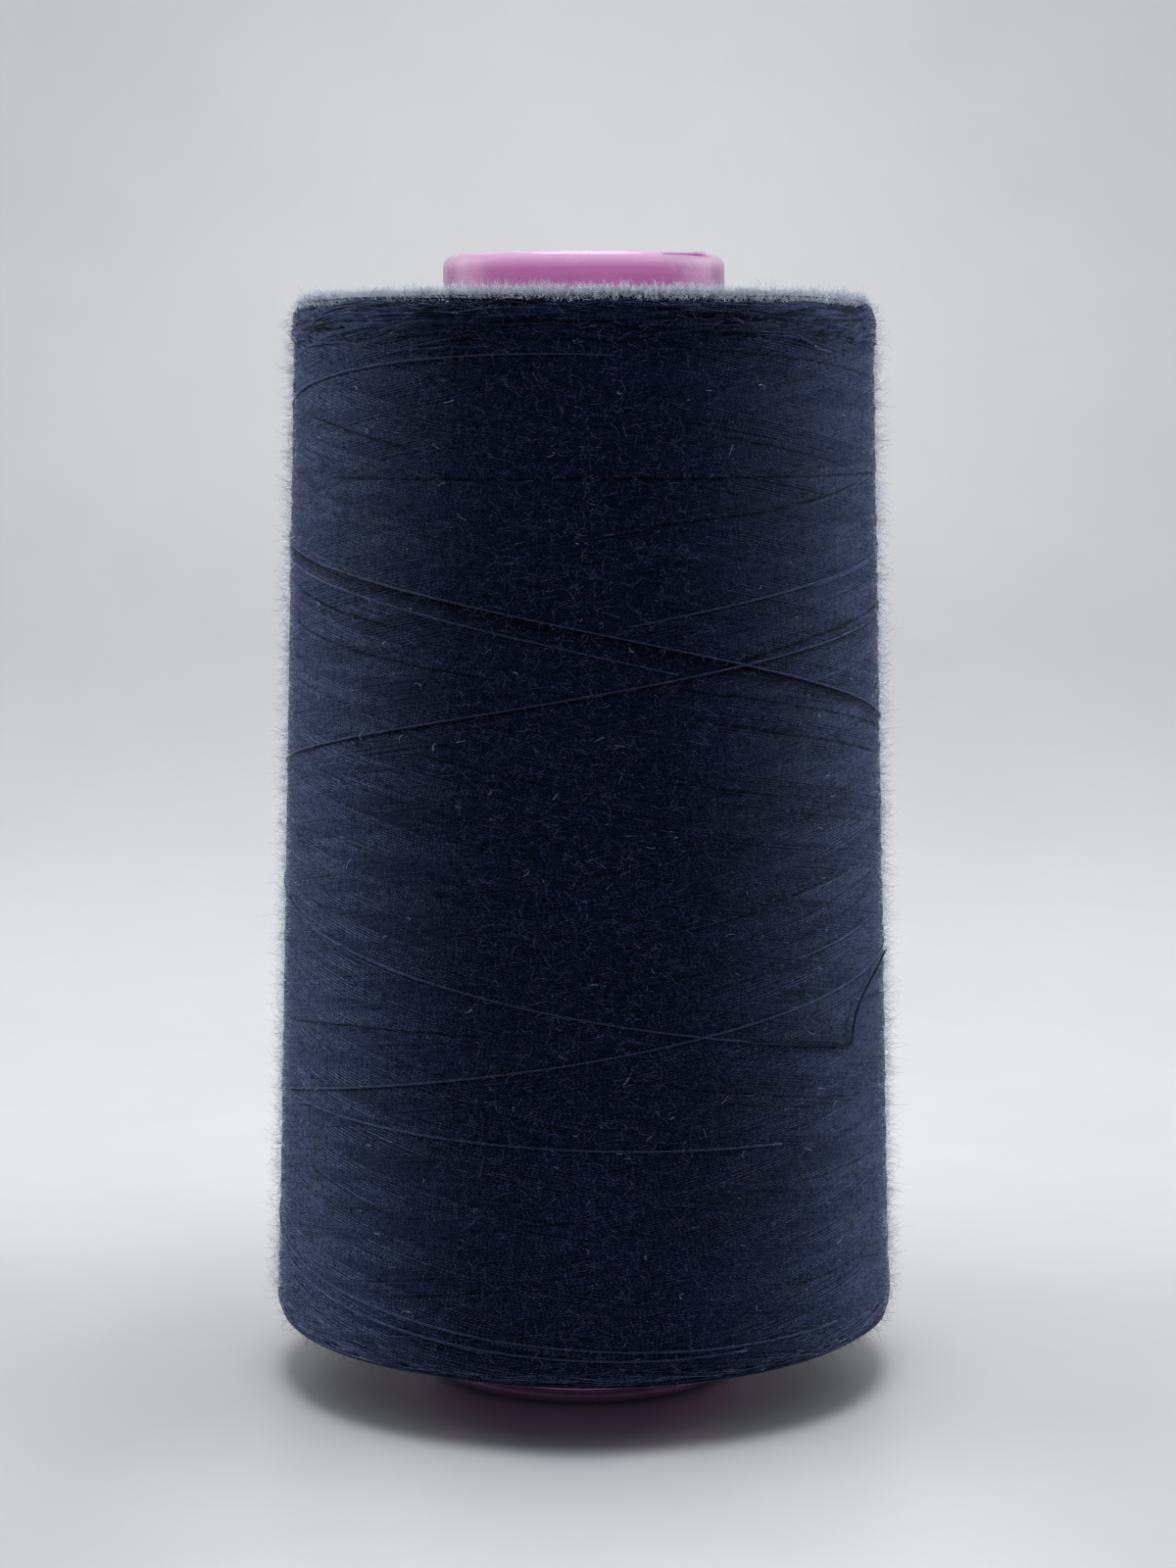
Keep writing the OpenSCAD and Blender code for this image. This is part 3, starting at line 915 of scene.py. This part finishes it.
# ---------------------------------------------------------------- fibre material
def fibre_material(name, dark, light, translucency=0.45, rim=None, rim_span=None, on_top=False):
    """rim: colours of painted rim light, given to the fibres where the side, or the top, of the
    package is seen at a grazing angle; rim_span: the facing values of full and of no rim colour."""
    material, sh = new_material(name)
    tone = sh.attribute("tone")
    coords = sh.coords()
    level = sh.add(sh.mul(tone, 0.5), sh.noise(coords, scale=900, detail=2), clamp=True)
    color = sh.ramp(level, [(0.1, dark), (0.9, light)])
    if rim:
        incoming = sh.node("ShaderNodeNewGeometry").outputs["Incoming"]
        if on_top:
            surface_normal = (0.0, 0.0, 1.0)
        else:
            level_part = sh.vector_math("MULTIPLY", {0: coords, 1: (1.0, 1.0, 0.0)})
            surface_normal = sh.vector_math("NORMALIZE", {0: level_part})
        facing = sh.vector_math("DOT_PRODUCT", {0: surface_normal, 1: incoming})
        # painted rim light: the colour turns pale as the package is seen more edge on
        rim_light_share = sh.map(sh.math("ABSOLUTE", facing), span=rim_span, to=(1.0, 0.0))
        pale = sh.ramp(level, [(0.1, rim[0]), (0.9, rim[1])])
        color = sh.mix_color(rim_light_share, color, pale)
    surface = sh.principled({
        "Base Color": color,
        "Roughness": 0.5,
        "Sheen Weight": 0.3,
        "Sheen Tint": (*SHEEN, 1),
        "Specular IOR Level": 0.12,
        "Normal": sh.bump(level, strength=0.3, distance=0.00002),
    })
    through = sh.node("ShaderNodeBsdfTranslucent", {"Color": color}).outputs[0]
    mixed = sh.node("ShaderNodeMixShader", {0: translucency, 1: surface, 2: through})
    sh.output(mixed.outputs[0])
    return material


# ---------------------------------------------------------------- plastic material
def plastic_material(name, base, dark, line_depth=1.0):
    material, sh = new_material(name)
    coords = sh.coords()
    x, y, z = sh.separate(coords)
    # turning lines: noise that varies along the axis, and only a little round it
    lines = sh.combine(sh.mul(x, 0.02), sh.mul(y, 0.02), z)
    fine = sh.noise(lines, scale=5200, detail=3, roughness=0.6)
    broad = sh.noise(lines, scale=1300, detail=2, roughness=0.5)
    grime = sh.noise(coords, scale=240, detail=5, roughness=0.6)
    scratches = sh.noise(coords, scale=2600, detail=2, roughness=0.5)
    level = sh.add(sh.mul(broad, 0.6), sh.mul(grime, 0.4))
    color = sh.ramp(level, [(0.3, dark), (0.7, base)])
    # painted highlight: the rounded top edge is mixed to a pale pink where the overhead light
    # catches it
    x, y, z = sh.separate(sh.node("ShaderNodeNewGeometry").outputs["Position"])
    radius_squared = sh.add(sh.mul(x, x), sh.mul(y, y))
    rim_highlight = sh.mul(sh.map(z, span=(0.1229, 0.1241), to=(0.0, 0.55)),
                      sh.map(radius_squared, span=(0.0140**2, 0.0147**2), to=(0.0, 1.0)))
    color = sh.mix_color(rim_highlight, color, (*srgb(246, 214, 244), 1.0))
    roughness = sh.add(sh.mul(grime, 0.16), sh.add(sh.mul(scratches, 0.1), 0.12), clamp=True)
    relief = sh.add(sh.add(fine, sh.mul(broad, 1.6)), sh.mul(scratches, 0.25))
    sh.output(sh.principled({
        "Base Color": color,
        "Roughness": roughness,
        "Subsurface Weight": 0.5,
        "Subsurface Radius": (0.0035, 0.0016, 0.0032),
        "Subsurface Scale": 1.0,
        "IOR": 1.49,
        "Coat Weight": 0.6,
        "Coat Roughness": 0.32,
        "Normal": sh.bump(relief, strength=0.35 * line_depth, distance=0.00005),
    }))
    return material


# ---------------------------------------------------------------- materials on the pieces
LILAC, LILAC_DARK = srgb(212, 132, 194), srgb(196, 112, 176)

mat_thread = thread_material("thread_navy", srgb(0, 13, 35), srgb(22, 41, 80),
                             sheen_weight=0.8, wound=True)
mat_loose = thread_material("thread_navy_loose", srgb(7, 11, 26), srgb(24, 32, 58),
                            sheen_weight=0.2)
# painted shade: a darker copy of the navy for the body seen in the gaps under the strands
mat_shaded_body = thread_material("thread_navy_shaded", srgb(5, 8, 17), srgb(12, 17, 31),
                           sheen_weight=0.0, roughness=0.9, bump=0.3)
mat_fuzz = fibre_material("fibre_navy", srgb(18, 28, 52), srgb(60, 76, 112))
# painted rim light: these navy fibres turn near white where the side of the package is seen edge
# on
mat_rim_lit = fibre_material("fibre_rim_lit", srgb(9, 18, 40), srgb(36, 51, 84),
                          rim=(srgb(214, 224, 236), srgb(250, 252, 254)),
                          rim_span=(0.05, 0.30))
# painted rim light on the pile: pale where the top of the package is seen edge on
mat_pile = fibre_material("fibre_pile", srgb(26, 37, 62), srgb(78, 94, 126),
                          rim=(srgb(160, 170, 186), srgb(218, 223, 230)),
                          rim_span=(0.10, 0.30), on_top=True)
mat_lint = fibre_material("lint_pale", srgb(84, 100, 124), srgb(176, 190, 204),
                          translucency=0.2)
mat_core = plastic_material("core_lilac", LILAC, LILAC_DARK)
mat_catch = plastic_material("catch_lilac", LILAC, LILAC_DARK, line_depth=0.6)
# painted shade: the base ring gets a darker, greyer copy of the lilac as it stands in the shade
# under the package
mat_shaded_ring = plastic_material("ring_lilac_shaded", srgb(174, 122, 170), srgb(154, 102, 150),
                            line_depth=0.7)


def paint(objs, material):
    for obj in objs:
        obj.data.materials.clear()
        obj.data.materials.append(material)


core_objs = [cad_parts["core_tube"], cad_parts["thread_catch"]]
fibre_objs = navy_fibres + rim_lit_fibres + pile_objs
wound_objs = thread_objs + [body, top_face, bottom_face] + fibre_objs + [lint]

paint(thread_objs + [top_face, bottom_face], mat_thread)
paint([body], mat_shaded_body)
paint(navy_fibres, mat_fuzz)
paint(rim_lit_fibres, mat_rim_lit)
paint(pile_objs, mat_pile)
paint([lint], mat_lint)
paint([loose_end], mat_loose)
paint(core_objs[:1], mat_core)
paint(core_objs[1:], mat_catch)
paint([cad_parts["base_ring"]], mat_shaded_ring)

for obj in wound_objs:
    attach(obj, "spool")
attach(loose_end, "spool")
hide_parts("thread_package")
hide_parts("thread_tail")

# ---------------------------------------------------------------- table sweep
SWEEP_HALF_W = 2200.0
SWEEP_FRONT, SWEEP_JOINT = -1400.0, -300.0      # y of the front edge and of a joint behind it
SWEEP_BEND_Y, SWEEP_BEND_R = 150.0, 260.0       # where the bend starts, and its radius
SWEEP_TOP = 2200.0


def table_material(name):
    """Pale sheet; all distances in metres."""
    material, sh = new_material(name)
    coords = sh.coords()
    mottle = sh.noise(coords, scale=30, detail=3)
    color = sh.ramp(mottle, [(0.3, srgb(236, 237, 239)), (0.7, srgb(240, 241, 243))])
    x, y, z = sh.separate(coords)
    # painted light and shade: lighter at the foot of the wall, dimmer behind the spool
    wall = sh.map(z, span=(-0.03, 0.065), to=(1.08, 0.735))
    # painted shade: the sheet darkens a little towards the front on both sides, and right before
    # the spool painted light lightens it
    front = sh.map(y, span=(0.0, 0.10), to=(1.0, 0.0))
    near = sh.map(y, span=(-0.055, -0.015), to=(1.0, 0.0))
    aside = sh.map(sh.math("ABSOLUTE", sh.add(x, -0.004)), span=(0.018, 0.058), to=(0.0, 1.0))
    left = sh.map(x, span=(-0.02, 0.03), to=(1.0, 0.0))
    dark = sh.mul(sh.mul(front, aside), sh.add(sh.mul(left, 0.06), 0.185))
    light = sh.mul(near, sh.sub(0.09, sh.mul(aside, 0.05)))
    level = sh.mul(wall, sh.add(sh.sub(light, dark), 1.0))
    # painted light: the wall brightens again high up, most of all in the middle
    level = sh.mul(level, sh.map(z, span=(0.05, 0.30), to=(1.0, 1.20)))
    middle = sh.map(sh.math("ABSOLUTE", x), span=(0.02, 0.13), to=(0.09, 0.0))
    middle = sh.mul(middle, sh.map(z, span=(0.11, 0.19), to=(0.0, 1.0)))
    level = sh.mul(level, sh.add(middle, 1.0))
    # painted contact shadow: right under the foot the sheet is darker and bluer, over an ellipse
    across = sh.mul(sh.add(x, 0.001), 1 / 0.019)
    deep = sh.mul(y, 1 / 0.041)
    ellipse = sh.add(sh.mul(across, across), sh.mul(deep, deep))
    under = sh.mix_color(sh.map(ellipse, span=(0.35, 1.0), to=(0.0, 1.0)),
                         (0.42, 0.50, 0.55, 1.0), (1.0, 1.0, 1.0, 1.0))
    sh.output(sh.principled({
        "Base Color": sh.vector_math("MULTIPLY", {0: sh.scaled(color, level), 1: under}),
        "Roughness": 0.38,
        "Specular IOR Level": 0.35,
    }))
    return material


def make_sweep():
    """A flat table that bends up into a wall behind the spool."""
    profile = [(SWEEP_FRONT, 0.0), (SWEEP_JOINT, 0.0)]
    profile += [(SWEEP_BEND_Y + SWEEP_BEND_R * math.sin(angle),
                 SWEEP_BEND_R * (1 - math.cos(angle)))
                for angle in np.linspace(0, math.pi / 2, 40)]
    profile += [(SWEEP_BEND_Y + SWEEP_BEND_R, SWEEP_TOP)]
    verts = [(x, y, z) for y, z in profile for x in (-SWEEP_HALF_W, SWEEP_HALF_W)]
    faces = [(2 * i - 2, 2 * i - 1, 2 * i + 1, 2 * i) for i in range(1, len(profile))]
    return make_mesh("table_sweep", np.array(verts, float), [np.array(faces)])


table = make_sweep()
paint([table], table_material("table_pale"))


# ---------------------------------------------------------------- lights
def area_light(name, at, aim, size, power, color=(1, 1, 1), only=None):
    """size is (width, height); only is (collection name, the objects that it lights)."""
    light = bpy.data.lights.new(name, "AREA")
    light.shape = "RECTANGLE"
    light.size, light.size_y = size
    light.energy = power
    light.color = color
    obj = bpy.data.objects.new(name, light)
    bpy.context.scene.collection.objects.link(obj)
    obj.location = at
    obj.rotation_euler = (Vector(aim) - Vector(at)).to_track_quat("-Z", "Y").to_euler()
    if only:
        receivers = bpy.data.collections.new(only[0])
        for receiver in only[1]:
            receivers.objects.link(receiver)
        obj.light_linking.receiver_collection = receivers
    return obj


SIDES = ((-1, "left"), (1, "right"))
area_light("top_soft", at=(0.0, 0.10, 0.80), aim=(0, 0.06, 0), size=(0.42, 0.36), power=2.9)
area_light("stage_soft", at=(0.0, -0.20, 0.85), aim=(0, -0.10, 0), size=(0.3, 0.3), power=1.7,
           only=("lit_table", [table]))
for sign, side in SIDES:
    area_light("side_" + side, at=(sign * 0.72, 0.40, 0.26), aim=(0, 0, 0.07),
               size=(0.5, 0.6), power=19.0, color=(0.95, 0.98, 1.0),
               only=("lit_from_the_" + side, wound_objs + [loose_end]))
front_fill = area_light("front_fill", at=(0.0, -0.75, 0.22), aim=(0, 0, 0.12),
                        size=(1.0, 0.4), power=3.9, only=("lit_from_the_front", core_objs))
front_fill.visible_glossy = False
for sign, side in SIDES:
    area_light("core_" + side, at=(sign * 0.58, 0.22, 0.24), aim=(0, 0, 0.12),
               size=(0.5, 0.4), power=0.85, only=("core_%s_lit" % side, core_objs))
for sign, side in SIDES:
    area_light("rim_" + side, at=(sign * 0.60, -0.12, 0.16), aim=(0, 0, 0.065),
               size=(0.3, 0.5), power=11.0,
               only=("rim_%s_lit" % side, rim_lit_fibres + pile_objs))


# ---------------------------------------------------------------- world and camera
def make_world():
    """Dim at the front, brighter at the back and overhead."""
    world = bpy.data.worlds.new("world")
    world.use_nodes = True
    sh = Shader(world.node_tree)
    _, y, z = sh.separate(sh.coords("Generated"))
    back = sh.map(y, span=(-0.75, 0.25), to=(0.08, 0.40), shape="LINEAR")
    overhead = sh.map(z, span=(0.1, 1.0), to=(0.0, 0.25), shape="LINEAR")
    background = world.node_tree.nodes["Background"]
    sh.feed(background.inputs["Strength"], sh.add(back, overhead))
    sh.feed(background.inputs["Color"], (0.93, 0.96, 1.0, 1))
    return world


scene = bpy.context.scene
scene.world = make_world()
scene.view_settings.view_transform = "Standard"
scene.view_settings.look = "None"
scene.view_settings.exposure = 0.0

CAMERA_AT = (0.000466, -0.35565, 0.10779)
CAMERA_DIP = 0.1158             # radians below level
lens = bpy.data.cameras.new("camera")
lens.lens = 73.13
lens.sensor_width = 36.0
lens.clip_start = 0.01
lens.clip_end = 20.0
camera = bpy.data.objects.new("camera", lens)
camera.location = CAMERA_AT
camera.rotation_euler = (math.pi / 2 - CAMERA_DIP, 0, 0)
scene.collection.objects.link(camera)
scene.camera = camera
